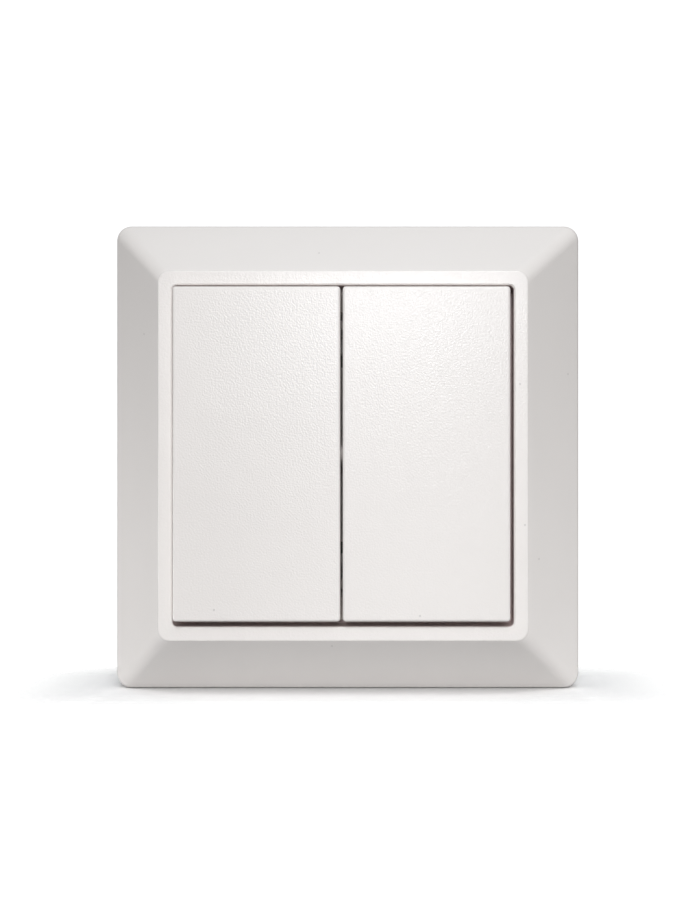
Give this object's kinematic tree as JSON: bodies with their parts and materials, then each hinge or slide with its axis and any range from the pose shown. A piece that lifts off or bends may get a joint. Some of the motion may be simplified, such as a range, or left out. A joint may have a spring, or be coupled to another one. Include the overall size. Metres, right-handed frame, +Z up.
{
  "type": "wireless wall switch",
  "caption": "Flat square wall switch with side-by-side rockers in a bevelled frame, on a wall plate, worked by a self-powered radio module.",
  "frame": {"origin": "centre of the wall plate's back face, on the wall", "axes": "+Z up the wall, +X to the right seen from the front, -Y out of the wall towards the user"},
  "size_m": [0.08, 0.015, 0.08],
  "materials": {
    "frame_white": "satin moulded",
    "rocker_white": "fine spark-eroded texture",
    "carrier_plastic": "plain moulded",
    "plate_plastic": "plain moulded",
    "module_plastic": "plain moulded",
    "board_laminate": "solder mask",
    "chip_black": "moulded package",
    "can_metal": "tin plated",
    "capacitor_tan": "ceramic body",
    "contact_rubber": "silicone",
    "spring_steel": "bright rolled",
    "core_iron": "stamped",
    "bobbin_plastic": "plain moulded",
    "copper_wire": "enamelled copper",
    "magnet_nickel": "nickel plated",
    "cradle_plastic": "plain moulded"
  },
  "bodies": {
    "base": {"outer_frame": "frame_white", "carrier_frame": "carrier_plastic", "wall_plate": "plate_plastic", "module_base": "module_plastic", "module_cover": "module_plastic", "circuit_board": "board_laminate", "radio_chip": "chip_black", "crystal": "can_metal", "storage_capacitors": "capacitor_tan", "rectifier_diodes": "chip_black", "antenna": "can_metal", "left_contact_domes": "contact_rubber", "right_contact_domes": "contact_rubber", "energy_bow": "spring_steel", "left_core": "core_iron", "right_core": "core_iron", "coil_bobbin": "bobbin_plastic", "coil_winding": "copper_wire", "coil_pins": "can_metal"},
    "left_rocker": {"left_rocker": "rocker_white"},
    "right_rocker": {"right_rocker": "rocker_white"},
    "armature": {"armature_carrier": "cradle_plastic", "magnet": "magnet_nickel", "upper_pole_plate": "core_iron", "lower_pole_plate": "core_iron"}
  },
  "joints": [
    {"name": "left_rocker_tilt", "type": "hinge", "parent": "base", "child": "left_rocker", "pos_m": [0, -0.0114, 0], "axis": [1, 0, 0], "range_deg": [-5, 5], "stiffness_Nm_per_rad": 1, "deforming": ["energy_bow", "left_contact_domes"]},
    {"name": "right_rocker_tilt", "type": "hinge", "parent": "base", "child": "right_rocker", "pos_m": [0, -0.0114, 0], "axis": [1, 0, 0], "range_deg": [-5, 5], "stiffness_Nm_per_rad": 1, "deforming": ["energy_bow", "right_contact_domes"]},
    {"name": "armature_snap", "type": "hinge", "parent": "base", "child": "armature", "pos_m": [0, -0.0046, 0.004], "axis": [0, 0, 1], "range_deg": [0, 3.6], "stiffness_Nm_per_rad": 0.05, "deforming": ["energy_bow"]}
  ]
}
